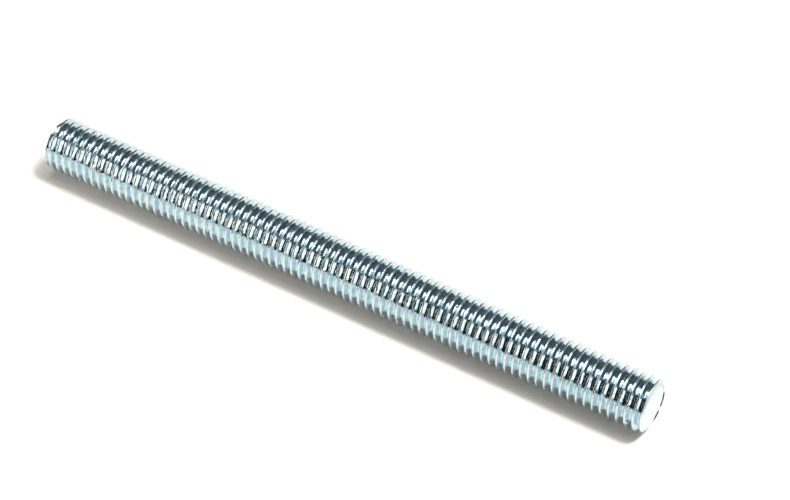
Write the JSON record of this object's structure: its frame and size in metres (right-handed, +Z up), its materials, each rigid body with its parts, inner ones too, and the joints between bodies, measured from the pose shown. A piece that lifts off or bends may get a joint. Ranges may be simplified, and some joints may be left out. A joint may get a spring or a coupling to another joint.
{
  "type": "threaded rod",
  "caption": "Straight steel rod with one coarse right-hand thread along its whole length and flat, chamfered ends, zinc plated.",
  "frame": {"origin": "on the surface the rod lies on, under the middle of its length", "axes": "+X along the rod's axis towards the end nearest the viewer, +Z up, +Y to the far side"},
  "size_m": [0.12, 0.0098, 0.0097],
  "materials": {
    "zinc_plate": "bright blue-white zinc plating on steel"
  },
  "bodies": {
    "root": {"threaded_rod": "zinc_plate"}
  },
  "joints": []
}
